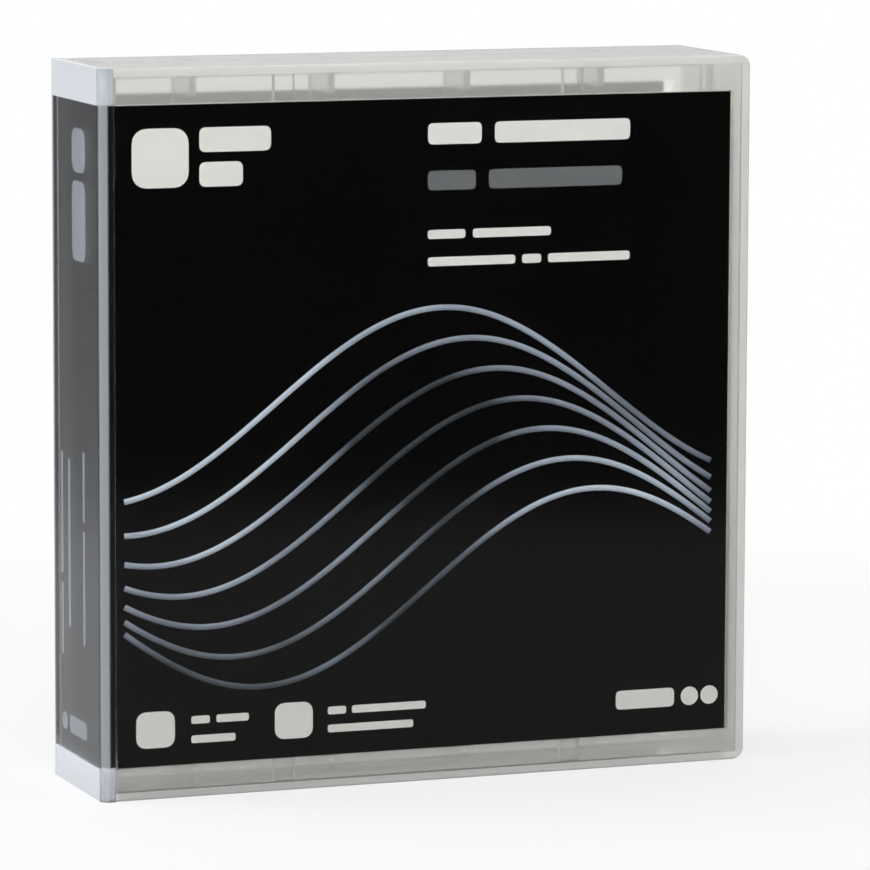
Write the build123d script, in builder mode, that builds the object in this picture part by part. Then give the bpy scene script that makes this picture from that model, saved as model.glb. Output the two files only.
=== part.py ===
from build123d import *
import os
from math import acos, asin, atan2, cos, degrees, hypot, pi, sin, sqrt

os.makedirs("parts", exist_ok=True)

# A data tape cartridge standing upright in its hinged, translucent storage case.
# A folded card lies inside the case's walls. All sizes are in millimetres.
# The origin is the middle of the closed case's foot: X right, Y to the back, Z up.

# Storage case, and the room that it leaves round the cartridge
case_width = 113.4
case_depth = 27.3
case_height = 119.0
case_wall = 1.5
corner_radius = 2.0
edge_round = 0.6
cover_depth = 13.9
parting_gap = 0.1
side_room = 4.2
foot_room = 4.0
head_room = 6.6
front_room = 1.8
rest_gap = 0.3

# The spine's two long beads, on which the back and the cover turn
hinge_bead_radius = 1.5
hinge_clearance = 0.05
hinge_land = 0.8
hinge_lip = 0.3
spine_gap = 0.15

# The rim of the back that closes inside the cover
rim_height = 1.6
rim_root = 2.0
rim_thickness = 0.8
rim_clearance = 0.3

# Hooks in the cover that hold the card's edges
hook_width = 3.4
hook_reach = 1.6
hook_thickness = 1.0
hook_clearance = 0.1
hook_places = (31.6, 82.0)

# Ribs and fins in the back that hold the cartridge
rib_thickness = 1.2
rib_spacing = 24.0
side_rib_spacing = 32.0
fin_height = 14.0

# Folded card
card_thickness = 0.3
card_clearance = 0.05
card_foot_margin = 5.3
card_head_margin = 5.9
card_front_margin = 3.1
card_back_margin = 5.2
fold_clearance = 0.1

# Cartridge shells
shell_wall = 1.8
shell_corner = 3.0
shell_edge_round = 0.9
well_gap = 0.95
well_wall = 1.0
hub_opening_radius = 17.6
collar_wall = 1.4
collar_height = 0.8

# Details of the shells' outsides
panel_side_margin = 13.0
panel_top_margin = 9.7
panel_height = 58.0
panel_depth = 0.4
grip_count = 9
grip_pitch = 2.4
grip_width = 1.1
grip_depth = 0.5
grip_top_margin = 6.0
notch_length = 8.0
notch_depth = 0.9
notch_top_margin = 36.0

# Shell screws
screw_inset_x = 7.2
screw_inset_z = 6.4
screw_shank_radius = 1.1
screw_head_radius = 2.1
screw_head_height = 1.3
screw_slot_radius = 1.2
screw_slot_depth = 0.7
screw_bite = 5.0
screw_clearance = 0.15
thread_clearance = 0.05
boss_wall = 1.5

# Reel
reel_gap = 0.9
tape_clearance = 0.25
tape_below_rim = 3.1
flange_gap = 1.3
flange_thickness = 1.2
flange_taper = 0.15
hub_radius = 22.0
hub_wall = 2.2
hub_floor = 2.4
spigot_length = 1.4
spigot_wall = 1.5
weld_clearance = 0.05

# Drive gear on the reel's outer face
gear_inner_radius = 12.0
gear_outer_radius = 17.1
gear_recess = 0.6
gear_teeth = 60
gear_tooth_depth = 1.2
washer_thickness = 1.2
washer_bore_radius = 3.0
washer_sunk = 0.5
washer_clearance = 0.1

# Reel brake
brake_teeth = 36
brake_tooth_depth = 1.2
brake_ring_inner = 16.6
brake_ring_outer = 19.2
brake_ring_height = 1.7
brake_tip_clearance = 0.3
brake_root_clearance = 0.1
brake_web = 1.5
brake_pip_radius = 2.6
brake_pip_length = 0.5
stem_radius = 6.3
stem_end_gap = 4.35
key_span = 8.0
key_width = 1.7
key_clearance = 0.08
key_end_gap = 0.4
gap_mouth_share = 0.62
gap_floor_share = 0.42
gap_overrun = 0.6

# Release plate
leg_circle_radius = 14.6
leg_radius = 1.2
leg_clearance = 0.15
leg_pad_radius = 1.6
plate_middle_radius = 8.0
plate_thickness = 1.2
plate_floor_gap = 0.2
plate_touch = 0.05

# Brake spring. Six sides stand for the round wire
brake_spring_radius = 8.0
brake_spring_wire = 0.8
brake_spring_turns = 3
wire_side_count = 6
spring_end_gap = 0.05
spring_ring_gap = 0.4
spring_ring_height = 1.5

# Access door, its window and its spring
window_foot = 11.0
window_length = 17.0
window_side_gap = 0.75
door_overlap_foot = 1.0
door_overlap_head = 1.0
door_overlap_side = 0.7
door_thickness = 1.0
door_gap = 0.15
lug_length = 1.5
lug_width = 6.0
lug_reach = 1.5
lug_gap = 0.3
door_foot_depth = 2.2
door_foot_width = 4.0
door_foot_height = 1.0
door_spring_radius = 1.0
door_spring_wire = 0.4
door_spring_turns = 5

# Leader pin, its clip, tape and springs
pin_inset_x = 8.0
pin_radius = 1.2
pin_neck_margin = 0.2
pin_shoulder_radius = 1.6
pin_disc_radius = 2.3
pin_disc_thickness = 1.2
pin_end_gap = 0.25
pocket_gap = 0.2
pocket_wall = 1.1
pocket_height = 1.3
clip_wall = 0.7
clip_gap = 0.05
clip_margin = 1.225
clip_slot = 0.6
tape_thickness = 0.2
tape_pack_gap = 0.1
leaf_thickness = 0.3
leaf_width = 0.9
leaf_anchor = (-1.5, 5.0)
leaf_contact = (2.9, 1.2)
leaf_tip = (3.9, 1.9)
leaf_block_length = 2.6
leaf_block_width = 2.2
leaf_slot_gap = 0.1

# Write-protect switch
switch_inset_x = 15.0
switch_travel = 4.0
switch_button_length = 3.6
switch_button_width = 4.0
switch_body_length = 7.0
switch_body_width = 5.4
switch_body_height = 2.2
switch_clearance = 0.1
switch_floor_gap = 0.15
switch_rail = 1.0

# Memory chip in its corner, and the label on the upper edge
chip_length = 13.0
chip_height = 8.5
chip_thickness = 0.8
chip_standoff = 7.25
chip_slot_gap = 0.1
chip_post = 2.4
label_left_margin = 9.0
label_right_margin = 27.0
label_width = 14.0
label_thickness = 0.15
label_recess = 0.3
label_corner = 1.5
label_clearance = 0.2


def front_plane(y):
    """The upright plane at depth y, seen from the front. Extruding comes towards the viewer."""
    return Plane.XZ.offset(-y)


def reel_plane(y, facing):
    """The plane across the reel's axis at depth y. Facing is 1 to the back and -1 to the front."""
    return Plane(origin=(0, y, reel_z), x_dir=(1, 0, 0), z_dir=(0, facing, 0))


# Places in the case
left_x = -case_width / 2
right_x = case_width / 2
front_y = -case_depth / 2
back_y = case_depth / 2
hinge_x = left_x + hinge_bead_radius
front_hinge_y = front_y + hinge_bead_radius
rear_hinge_y = back_y - hinge_bead_radius
parting_y = front_y + cover_depth
panel_left = hinge_x + spine_gap
cover_inner_y = front_y + case_wall
back_inner_y = back_y - case_wall
card_front_y = cover_inner_y + card_clearance + card_thickness
card_back_y = back_inner_y - card_clearance
card_bottom = card_foot_margin
card_top = case_height - card_head_margin

# The cartridge fills the case, less the room round it
cartridge_width = case_width - 2 * (case_wall + side_room)
cartridge_height = case_height - 2 * case_wall - foot_room - head_room
cartridge_foot = case_wall + foot_room
cartridge_back_y = card_back_y - card_thickness - rest_gap
cartridge_front_y = card_front_y + front_room
cartridge_thickness = cartridge_back_y - cartridge_front_y
cartridge_y = (cartridge_back_y + cartridge_front_y) / 2
cartridge_top = cartridge_foot + cartridge_height
cartridge_side = cartridge_width / 2
inner_side = cartridge_side - shell_wall
upper_floor_y = cartridge_front_y + shell_wall
lower_floor_y = cartridge_back_y - shell_wall
reel_z = cartridge_foot + cartridge_height / 2
flange_radius = min(cartridge_width, cartridge_height) / 2 - shell_wall - reel_gap
tape_radius = flange_radius - tape_below_rim
well_radius = flange_radius + well_gap

# Places along the reel's axis
tape_space = cartridge_thickness - 2 * (shell_wall + flange_gap + flange_thickness)
tape_width = tape_space - tape_clearance
hub_top_y = cartridge_y - tape_space / 2
flange_inner_y = cartridge_y + tape_space / 2
flange_outer_y = flange_inner_y + flange_thickness
hub_floor_y = flange_outer_y - hub_floor
gear_crest_y = cartridge_back_y - gear_recess
washer_seat_y = flange_outer_y - washer_sunk
hub_bore_radius = hub_radius - hub_wall
ring_crest_y = hub_floor_y - brake_ring_height
brake_travel = brake_tooth_depth + brake_tip_clearance - brake_root_clearance
brake_crest_y = ring_crest_y - brake_tip_clearance
plate_back_y = hub_floor_y - brake_travel - plate_floor_gap
plate_front_y = plate_back_y - plate_thickness
pip_end_y = plate_front_y - plate_touch
brake_web_back_y = pip_end_y - brake_pip_length
brake_web_front_y = brake_web_back_y - brake_web
stem_length = brake_web_front_y - upper_floor_y - stem_end_gap

reel_axis = Axis((0, 0, reel_z), (0, 1, 0))

# Places at the door and the leader pin
window_width = cartridge_thickness - 2 * (shell_wall + door_overlap_side + window_side_gap)
window_z = cartridge_foot + window_foot
window_top_z = window_z + window_length
door_outer_x = inner_side - door_gap
door_inner_x = door_outer_x - door_thickness
door_bottom_z = window_z - door_overlap_foot
door_top_z = window_top_z + door_overlap_head
lug_z = window_z + lug_gap
door_travel = window_top_z - lug_gap - lug_z - lug_length
pin_x = cartridge_side - pin_inset_x
pin_z = (window_z + window_top_z) / 2
pin_half_length = cartridge_thickness / 2 - shell_wall - pin_end_gap
pin_half_neck = tape_width / 2 + pin_neck_margin

# Places at the write-protect switch
switch_x = cartridge_side - switch_inset_x
switch_far_x = switch_x - switch_travel
channel_width = switch_body_width + 2 * (switch_clearance + switch_rail)
switch_y = lower_floor_y - switch_floor_gap - channel_width / 2


def case_outline(y, left, inset):
    """The case's upright outline at depth y, open to the spine, drawn in by inset."""
    width = right_x - inset - left
    height = case_height - 2 * inset
    with BuildSketch(front_plane(y), mode=Mode.PRIVATE) as outline:
        with Locations((left + width / 2, case_height / 2)):
            Rectangle(width, height)
        fillet(outline.vertices().group_by(Axis.X)[-1], max(corner_radius - inset, edge_round))
    return outline.sketch


def shell_outline(y, inset):
    """The cartridge's upright outline at depth y, drawn in by inset."""
    with BuildSketch(front_plane(y), mode=Mode.PRIVATE) as outline:
        with Locations((0, reel_z)):
            RectangleRounded(
                cartridge_width - 2 * inset,
                cartridge_height - 2 * inset,
                shell_corner - inset,
            )
    return outline.sketch


def tooth_gap(inner_radius, outer_radius, count, depth):
    """One gap of a face gear along X, open upwards at height 0 and wider further out."""
    with BuildPart(mode=Mode.PRIVATE) as gap:
        for radius in (inner_radius - gap_overrun, outer_radius + gap_overrun):
            mouth = gap_mouth_share * 2 * pi * radius / count
            floor = gap_floor_share * 2 * pi * radius / count
            with BuildSketch(Plane.YZ.offset(radius)):
                with BuildLine():
                    Polyline(
                        (-floor / 2, -depth),
                        (floor / 2, -depth),
                        (mouth / 2, 0),
                        (mouth / 2, gap_overrun),
                        (-mouth / 2, gap_overrun),
                        (-mouth / 2, 0),
                        close=True,
                    )
                make_face()
        loft()
    return gap.part


# Case spine: a flat strip with a round bead along each long edge, where the two halves turn.
with BuildPart() as case_spine:
    with BuildSketch(Plane.XY):
        with Locations((left_x + case_wall / 2, 0)):
            Rectangle(case_wall, rear_hinge_y - front_hinge_y)
        with Locations((hinge_x, front_hinge_y), (hinge_x, rear_hinge_y)):
            Circle(hinge_bead_radius)
    extrude(amount=case_height)
case_spine.part.label = "case_spine"
export_step(case_spine.part, "parts/case_spine.step")


# Case back: a tray with three walls, a rim that closes inside the cover, and the cartridge's ribs.
rib_front_y = parting_y + rim_root
rib_back_y = card_back_y - card_thickness - hook_clearance
foot_rib_height = cartridge_foot - case_wall
head_rib_height = case_height - case_wall - cartridge_top - rest_gap
side_rib_width = right_x - case_wall - cartridge_side - rest_gap
fin_x = -cartridge_side - rest_gap - rib_thickness / 2
with BuildPart() as case_back:
    extrude(case_outline(back_y, panel_left, 0), amount=back_y - parting_y)
    back_face = case_back.faces().sort_by(Axis.Y)[-1]
    fillet(back_face.edges().sort_by(Axis.X)[1:], edge_round)
    extrude(
        case_outline(back_inner_y, panel_left - spine_gap, case_wall),
        amount=back_inner_y - parting_y,
        mode=Mode.SUBTRACT,
    )
    extrude(case_outline(parting_y + rim_root, panel_left, case_wall), amount=rim_root)
    extrude(case_outline(parting_y, panel_left, case_wall + rim_clearance), amount=rim_height)
    extrude(
        case_outline(
            parting_y + rim_root, panel_left - spine_gap, case_wall + rim_clearance + rim_thickness
        ),
        amount=rim_root + rim_height,
        mode=Mode.SUBTRACT,
    )
    # Ribs that the cartridge stands on and lies against
    with BuildSketch(front_plane(rib_back_y)):
        with Locations((0, case_wall + foot_rib_height / 2)):
            with GridLocations(rib_spacing, 1, 4, 1):
                Rectangle(rib_thickness, foot_rib_height)
        with Locations((0, case_height - case_wall - head_rib_height / 2)):
            with GridLocations(rib_spacing, 1, 4, 1):
                Rectangle(rib_thickness, head_rib_height)
        with Locations((right_x - case_wall - side_rib_width / 2, reel_z)):
            with GridLocations(1, side_rib_spacing, 1, 3):
                Rectangle(side_rib_width, rib_thickness)
        with Locations(
            (fin_x, case_wall + fin_height / 2),
            (fin_x, case_height - case_wall - fin_height / 2),
        ):
            Rectangle(rib_thickness, fin_height)
    extrude(amount=rib_back_y - rib_front_y)
    # The groove that the spine's rear bead turns in, with a blunt edge outside
    with BuildSketch(Plane.XY):
        with Locations((hinge_x, rear_hinge_y)):
            Circle(hinge_bead_radius + hinge_clearance)
        with Locations((hinge_x + hinge_land / 2, back_y - hinge_lip / 2)):
            Rectangle(hinge_land, hinge_lip)
    extrude(amount=case_height, mode=Mode.SUBTRACT)
case_back.part.label = "case_back"
export_step(case_back.part, "parts/case_back.step")


# Case cover: the front tray, with small hooks at its top and bottom that hold the card.
def hook_profile(card_edge_z, wall_z):
    """A hook's section: a block between wall and card edge, with a tongue behind the card."""
    away = 1 if wall_z > card_edge_z else -1
    tongue_y = card_front_y + hook_clearance
    with BuildLine() as section:
        Polyline(
            (cover_inner_y - hook_clearance, wall_z + away * hook_clearance),
            (cover_inner_y - hook_clearance, card_edge_z + away * hook_clearance),
            (tongue_y, card_edge_z + away * hook_clearance),
            (tongue_y, card_edge_z - away * hook_reach),
            (tongue_y + hook_thickness, card_edge_z - away * hook_reach),
            (tongue_y + hook_thickness, wall_z + away * hook_clearance),
            close=True,
        )
    make_face(section.edges())


cover_end_y = parting_y - parting_gap
with BuildPart() as case_cover:
    extrude(case_outline(cover_end_y, panel_left, 0), amount=cover_end_y - front_y)
    cover_face = case_cover.faces().sort_by(Axis.Y)[0]
    fillet(cover_face.edges().sort_by(Axis.X)[1:], edge_round)
    extrude(
        case_outline(cover_end_y, panel_left - spine_gap, case_wall),
        amount=cover_end_y - cover_inner_y,
        mode=Mode.SUBTRACT,
    )
    for place in hook_places:
        with BuildSketch(Plane.YZ.offset(left_x + place - hook_width / 2)):
            hook_profile(card_top, case_height - case_wall)
            hook_profile(card_bottom, case_wall)
        extrude(amount=hook_width)
    with BuildSketch(Plane.XY):
        with Locations((hinge_x, front_hinge_y)):
            Circle(hinge_bead_radius + hinge_clearance)
        with Locations((hinge_x + hinge_land / 2, front_y + hinge_lip / 2)):
            Rectangle(hinge_land, hinge_lip)
    extrude(amount=case_height, mode=Mode.SUBTRACT)
case_cover.part.label = "case_cover"
export_step(case_cover.part, "parts/case_cover.step")


# Folded card, in three stretches. The middle one carries the two rounded folds round the beads.
card_height = card_top - card_bottom
card_left = hinge_x + hinge_bead_radius + fold_clearance
card_right = right_x - card_front_margin
card_back_right = right_x - card_back_margin
with BuildPart() as card_front:
    with BuildSketch(front_plane(card_front_y)):
        with Locations(((card_left + card_right) / 2, card_bottom + card_height / 2)):
            Rectangle(card_right - card_left, card_height)
    extrude(amount=card_thickness)
card_front.part.label = "card_front"
export_step(card_front.part, "parts/card_front.step")

with BuildPart() as card_back:
    with BuildSketch(front_plane(card_back_y)):
        with Locations(((card_left + card_back_right) / 2, card_bottom + card_height / 2)):
            Rectangle(card_back_right - card_left, card_height)
    extrude(amount=card_thickness)
card_back.part.label = "card_back"
export_step(card_back.part, "parts/card_back.step")

fold_inner_radius = hinge_bead_radius + fold_clearance
fold_outer_radius = fold_inner_radius + card_thickness
card_edge_rise = card_clearance + card_thickness + fold_clearance
fold_end_angle = degrees(asin(card_edge_rise / fold_inner_radius))
strip_left_x = left_x + case_wall + card_clearance
strip_right_x = strip_left_x + card_thickness
inner_turn = degrees(acos((strip_left_x - hinge_x) / fold_inner_radius))
outer_turn = degrees(acos((strip_right_x - hinge_x) / fold_outer_radius))
with BuildPart() as card_spine:
    with BuildSketch(Plane.XY.offset(card_bottom)):
        with BuildLine():
            inner_fold = CenterArc(
                (hinge_x, front_hinge_y),
                fold_inner_radius,
                fold_end_angle,
                inner_turn - fold_end_angle,
            )
            outer_fold = CenterArc(
                (hinge_x, front_hinge_y),
                fold_outer_radius,
                fold_end_angle,
                outer_turn - fold_end_angle,
            )
            Line(inner_fold @ 0, outer_fold @ 0)
            Line(inner_fold @ 1, (strip_left_x, 0))
            Line(outer_fold @ 1, (strip_right_x, 0))
            mirror(about=Plane.XZ)
        make_face()
    extrude(amount=card_height)
card_spine.part.label = "card_spine"
export_step(card_spine.part, "parts/card_spine.step")


# What both shells share: the corner walls round the reel, and the screw places.
def well_walls():
    """Arcs round the reel in the cartridge's corners, cut short at the leader pin's corner."""
    with Locations((0, reel_z)):
        RectangleRounded(
            cartridge_width - 2 * shell_wall,
            cartridge_height - 2 * shell_wall,
            shell_corner - shell_wall,
        )
        Circle(well_radius + well_wall, mode=Mode.INTERSECT)
        Circle(well_radius, mode=Mode.SUBTRACT)
    corridor_height = door_top_z + door_travel - cartridge_foot - shell_wall
    with Locations((cartridge_side / 2, cartridge_foot + shell_wall + corridor_height / 2)):
        Rectangle(cartridge_side, corridor_height, mode=Mode.SUBTRACT)


def pin_pocket():
    """A half ring behind the leader pin's disc, and the slotted block that grips its leaf spring."""
    with Locations((pin_x, pin_z)):
        Circle(pin_disc_radius + pocket_gap + pocket_wall)
        Circle(pin_disc_radius + pocket_gap, mode=Mode.SUBTRACT)
    with Locations((pin_x + pin_disc_radius * 2, pin_z)):
        Rectangle(pin_disc_radius * 4, pin_disc_radius * 4, mode=Mode.SUBTRACT)
    leaf_run = leaf_contact[0] - leaf_anchor[0]
    leaf_drop = leaf_contact[1] - leaf_anchor[1]
    leaf_angle = degrees(atan2(leaf_drop, leaf_run))
    anchor = (pin_x + leaf_anchor[0], pin_z + leaf_anchor[1], 0)
    with Locations(Location(anchor, (0, 0, leaf_angle))):
        Rectangle(leaf_block_length, leaf_block_width)
        slot_width = leaf_thickness + 2 * leaf_slot_gap
        Rectangle(leaf_block_length, slot_width, mode=Mode.SUBTRACT)


def label_field(clearance):
    """The upper edge's label, or its recess with a clearance all round."""
    label_length = cartridge_width - label_left_margin - label_right_margin
    with Locations(((label_left_margin - label_right_margin) / 2, cartridge_y)):
        RectangleRounded(label_length + 2 * clearance, label_width + 2 * clearance, label_corner)


screw_x = cartridge_side - screw_inset_x
screw_places = (
    (-screw_x, cartridge_foot + screw_inset_z),
    (-screw_x, cartridge_top - screw_inset_z),
    (screw_x, cartridge_top - screw_inset_z),
    (screw_x - screw_inset_x, cartridge_foot + screw_inset_z),
)
boss_radius = screw_shank_radius + screw_clearance + boss_wall
head_seat_y = cartridge_back_y - screw_slot_depth - screw_head_height

# The corner where the memory chip stands across the diagonal
chip_angle = atan2(-(cartridge_height / 2), -(cartridge_width / 2))
chip_distance = well_radius + well_wall + chip_standoff
chip_x = chip_distance * cos(chip_angle)
chip_z = reel_z + chip_distance * sin(chip_angle)
chip_turn = degrees(chip_angle) + 90


# Cartridge upper shell, towards the viewer.
with BuildPart() as upper_shell:
    extrude(shell_outline(cartridge_y, 0), amount=cartridge_thickness / 2)
    shell_face = upper_shell.faces().sort_by(Axis.Y)[0]
    fillet(shell_face.edges(), shell_edge_round)
    extrude(
        shell_outline(cartridge_y, shell_wall),
        amount=cartridge_y - upper_floor_y,
        mode=Mode.SUBTRACT,
    )
    # Corner walls, screw bosses and the leader pin's pocket
    with BuildSketch(front_plane(cartridge_y)):
        well_walls()
    extrude(amount=cartridge_y - upper_floor_y)
    with BuildSketch(front_plane(cartridge_y)):
        with Locations(*screw_places):
            Circle(boss_radius)
    extrude(amount=cartridge_y - upper_floor_y)
    with BuildSketch(front_plane(cartridge_y)):
        with Locations(*screw_places):
            Circle(screw_shank_radius + thread_clearance)
    extrude(amount=screw_bite + screw_clearance, mode=Mode.SUBTRACT)
    with BuildSketch(front_plane(upper_floor_y + pocket_height)):
        pin_pocket()
    extrude(amount=pocket_height)
    # The cross-shaped key that stops the brake turning, inside the spring's locating ring
    with BuildSketch(reel_plane(brake_web_front_y - key_end_gap, -1)):
        Rectangle(key_span, key_width)
        Rectangle(key_width, key_span)
    extrude(amount=brake_web_front_y - key_end_gap - upper_floor_y)
    ring_radius = brake_spring_radius + brake_spring_wire / 2 + spring_ring_gap
    with BuildSketch(reel_plane(upper_floor_y + spring_ring_height, -1)):
        Circle(ring_radius + well_wall)
        Circle(ring_radius, mode=Mode.SUBTRACT)
    extrude(amount=spring_ring_height)
    # Outside: the label panel, the finger grips and the handling notches
    with BuildSketch(front_plane(cartridge_front_y + panel_depth)):
        with Locations((0, cartridge_top - panel_top_margin - panel_height / 2)):
            RectangleRounded(cartridge_width - 2 * panel_side_margin, panel_height, shell_corner)
    extrude(amount=panel_depth, mode=Mode.SUBTRACT)
    with BuildSketch(Plane.XY.offset(window_z)):
        with Locations((cartridge_side, cartridge_y)):
            Rectangle(shell_wall * 3, window_width)
    extrude(amount=window_length, mode=Mode.SUBTRACT)
    with BuildSketch(front_plane(cartridge_y)):
        for side in (-1, 1):
            with Locations((side * cartridge_side, cartridge_top - notch_top_margin)):
                Rectangle(notch_depth * 2, notch_length)
            grip_middle_z = cartridge_top - grip_top_margin - (grip_count - 1) * grip_pitch / 2
            with Locations((side * cartridge_side, grip_middle_z)):
                with GridLocations(1, grip_pitch, 1, grip_count):
                    Rectangle(grip_depth * 2, grip_width)
    extrude(amount=cartridge_thickness / 2 - shell_edge_round * 2, mode=Mode.SUBTRACT)
    with BuildSketch(Plane.XY.offset(cartridge_top - label_recess)):
        label_field(label_clearance)
    extrude(amount=label_recess, mode=Mode.SUBTRACT)
upper_shell.part.label = "upper_shell"
export_step(upper_shell.part, "parts/upper_shell.step")


# Cartridge lower shell, the drive's side, with the opening for the reel's gear.
lower_depth = cartridge_back_y - cartridge_y
with BuildPart() as lower_shell:
    extrude(shell_outline(cartridge_back_y, 0), amount=lower_depth)
    shell_face = lower_shell.faces().sort_by(Axis.Y)[-1]
    fillet(shell_face.edges(), shell_edge_round)
    extrude(
        shell_outline(lower_floor_y, shell_wall),
        amount=lower_floor_y - cartridge_y,
        mode=Mode.SUBTRACT,
    )
    # Corner walls, screw bosses, the leader pin's pocket and the collar round the opening
    with BuildSketch(front_plane(lower_floor_y)):
        well_walls()
    extrude(amount=lower_floor_y - cartridge_y)
    with BuildSketch(front_plane(lower_floor_y)):
        with Locations(*screw_places):
            Circle(boss_radius)
    extrude(amount=lower_floor_y - cartridge_y)
    with BuildSketch(front_plane(lower_floor_y)):
        pin_pocket()
    extrude(amount=pocket_height)
    with BuildSketch(reel_plane(lower_floor_y, -1)):
        Circle(hub_opening_radius + collar_wall)
    extrude(amount=collar_height)
    with BuildSketch(reel_plane(cartridge_back_y, -1)):
        Circle(hub_opening_radius)
    extrude(amount=cartridge_thickness / 2, mode=Mode.SUBTRACT)
    with BuildSketch(front_plane(cartridge_back_y)):
        with Locations(*screw_places):
            Circle(screw_head_radius + screw_clearance)
    extrude(amount=cartridge_back_y - head_seat_y, mode=Mode.SUBTRACT)
    with BuildSketch(front_plane(cartridge_back_y)):
        with Locations(*screw_places):
            Circle(screw_shank_radius + screw_clearance)
    extrude(amount=lower_depth, mode=Mode.SUBTRACT)
    # Two posts with slots for the memory chip
    with BuildSketch(front_plane(lower_floor_y)):
        with Locations(Location((chip_x, chip_z, 0), (0, 0, chip_turn))):
            with GridLocations(chip_length, 1, 2, 1):
                Rectangle(chip_post, chip_post)
            Rectangle(
                chip_length + chip_slot_gap * 2, chip_thickness + chip_slot_gap * 2, mode=Mode.SUBTRACT
            )
    extrude(amount=chip_height)
    # Outside: window, grips, notches, write-protect slot, label recess
    with BuildSketch(Plane.XY.offset(window_z)):
        with Locations((cartridge_side, cartridge_y)):
            Rectangle(shell_wall * 3, window_width)
    extrude(amount=window_length, mode=Mode.SUBTRACT)
    with BuildSketch(front_plane(cartridge_back_y - shell_edge_round * 2)):
        for side in (-1, 1):
            with Locations((side * cartridge_side, cartridge_top - notch_top_margin)):
                Rectangle(notch_depth * 2, notch_length)
            with Locations((side * cartridge_side, grip_middle_z)):
                with GridLocations(1, grip_pitch, 1, grip_count):
                    Rectangle(grip_depth * 2, grip_width)
    extrude(amount=cartridge_thickness / 2, mode=Mode.SUBTRACT)
    with BuildSketch(Plane.XY.offset(cartridge_top - label_recess)):
        label_field(label_clearance)
    extrude(amount=label_recess, mode=Mode.SUBTRACT)
    # The write-protect switch's channel under the upper edge, and its slot
    channel_height = switch_body_height + 2 * switch_clearance + switch_rail
    with BuildSketch(Plane.YZ.offset(switch_far_x - switch_body_length / 2 - switch_clearance)):
        with Locations((switch_y, cartridge_top - shell_wall - channel_height / 2)):
            Rectangle(channel_width, channel_height)
            Rectangle(channel_width - 2 * switch_rail, channel_height, mode=Mode.SUBTRACT)
        with Locations((switch_y, cartridge_top - shell_wall - channel_height + switch_rail / 2)):
            Rectangle(channel_width, switch_rail)
    extrude(amount=switch_travel + switch_body_length + 2 * switch_clearance)
    slot_length = switch_travel + switch_button_length + 2 * switch_clearance
    with BuildSketch(Plane.XY.offset(cartridge_top - shell_wall)):
        with Locations((switch_x - switch_travel / 2, switch_y)):
            Rectangle(slot_length, switch_button_width + 2 * switch_clearance)
    extrude(amount=shell_wall, mode=Mode.SUBTRACT)
lower_shell.part.label = "lower_shell"
export_step(lower_shell.part, "parts/lower_shell.step")


# Four screws that hold the shells together, driven from the drive's side.
with BuildPart() as shell_screws:
    with BuildSketch(front_plane(cartridge_back_y - screw_slot_depth)):
        with Locations(*screw_places):
            Circle(screw_head_radius)
    extrude(amount=screw_head_height)
    with BuildSketch(front_plane(head_seat_y)):
        with Locations(*screw_places):
            Circle(screw_shank_radius)
    extrude(amount=head_seat_y - cartridge_y + screw_bite)
    with BuildSketch(front_plane(cartridge_back_y - screw_slot_depth)):
        with Locations(*screw_places):
            RegularPolygon(screw_slot_radius, 6)
    extrude(amount=screw_slot_depth, mode=Mode.SUBTRACT)
shell_screws.part.label = "shell_screws"
export_step(shell_screws.part, "parts/shell_screws.step")


# Reel hub: lower flange, hub, floor, the drive's gear outside and the brake's ring of teeth inside.
with BuildPart() as reel_hub:
    with BuildSketch(Plane.XY.offset(reel_z)):
        with BuildLine():
            Polyline(
                (0, hub_floor_y),
                (brake_ring_inner, hub_floor_y),
                (brake_ring_inner, ring_crest_y),
                (brake_ring_outer, ring_crest_y),
                (brake_ring_outer, hub_floor_y),
                (hub_bore_radius, hub_floor_y),
                (hub_bore_radius, hub_top_y),
                (hub_radius, hub_top_y),
                (hub_radius, flange_inner_y),
                (flange_radius, flange_inner_y + flange_taper),
                (flange_radius, flange_outer_y),
                (gear_outer_radius, flange_outer_y),
                (gear_outer_radius, gear_crest_y),
                (gear_inner_radius, gear_crest_y),
                (gear_inner_radius, washer_seat_y),
                (0, washer_seat_y),
                close=True,
            )
        make_face()
    revolve(axis=reel_axis)
    gear_gap = tooth_gap(gear_inner_radius, gear_outer_radius, gear_teeth, gear_tooth_depth)
    with Locations(reel_plane(gear_crest_y, 1)):
        with PolarLocations(0, gear_teeth):
            add(gear_gap, mode=Mode.SUBTRACT)
    brake_gap = tooth_gap(brake_ring_inner, brake_ring_outer, brake_teeth, brake_tooth_depth)
    with Locations(reel_plane(ring_crest_y, -1)):
        with PolarLocations(0, brake_teeth):
            add(brake_gap, mode=Mode.SUBTRACT)
    with BuildSketch(reel_plane(gear_crest_y, -1)):
        with PolarLocations(leg_circle_radius, 3, 90):
            Circle(leg_radius + leg_clearance)
    extrude(amount=gear_crest_y - hub_floor_y, mode=Mode.SUBTRACT)
reel_hub.part.label = "reel_hub"
export_step(reel_hub.part, "parts/reel_hub.step")


# Reel upper flange, with a spigot welded into the hub's bore.
flange_bore_radius = hub_bore_radius - weld_clearance - spigot_wall
with BuildPart() as reel_upper_flange:
    with BuildSketch(Plane.XY.offset(reel_z)):
        with BuildLine():
            Polyline(
                (flange_bore_radius, hub_top_y - flange_thickness),
                (flange_radius, hub_top_y - flange_thickness),
                (flange_radius, hub_top_y - flange_taper),
                (hub_radius, hub_top_y),
                (hub_bore_radius - weld_clearance, hub_top_y),
                (hub_bore_radius - weld_clearance, hub_top_y + spigot_length),
                (flange_bore_radius, hub_top_y + spigot_length),
                close=True,
            )
        make_face()
    revolve(axis=reel_axis)
reel_upper_flange.part.label = "reel_upper_flange"
export_step(reel_upper_flange.part, "parts/reel_upper_flange.step")


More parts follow.
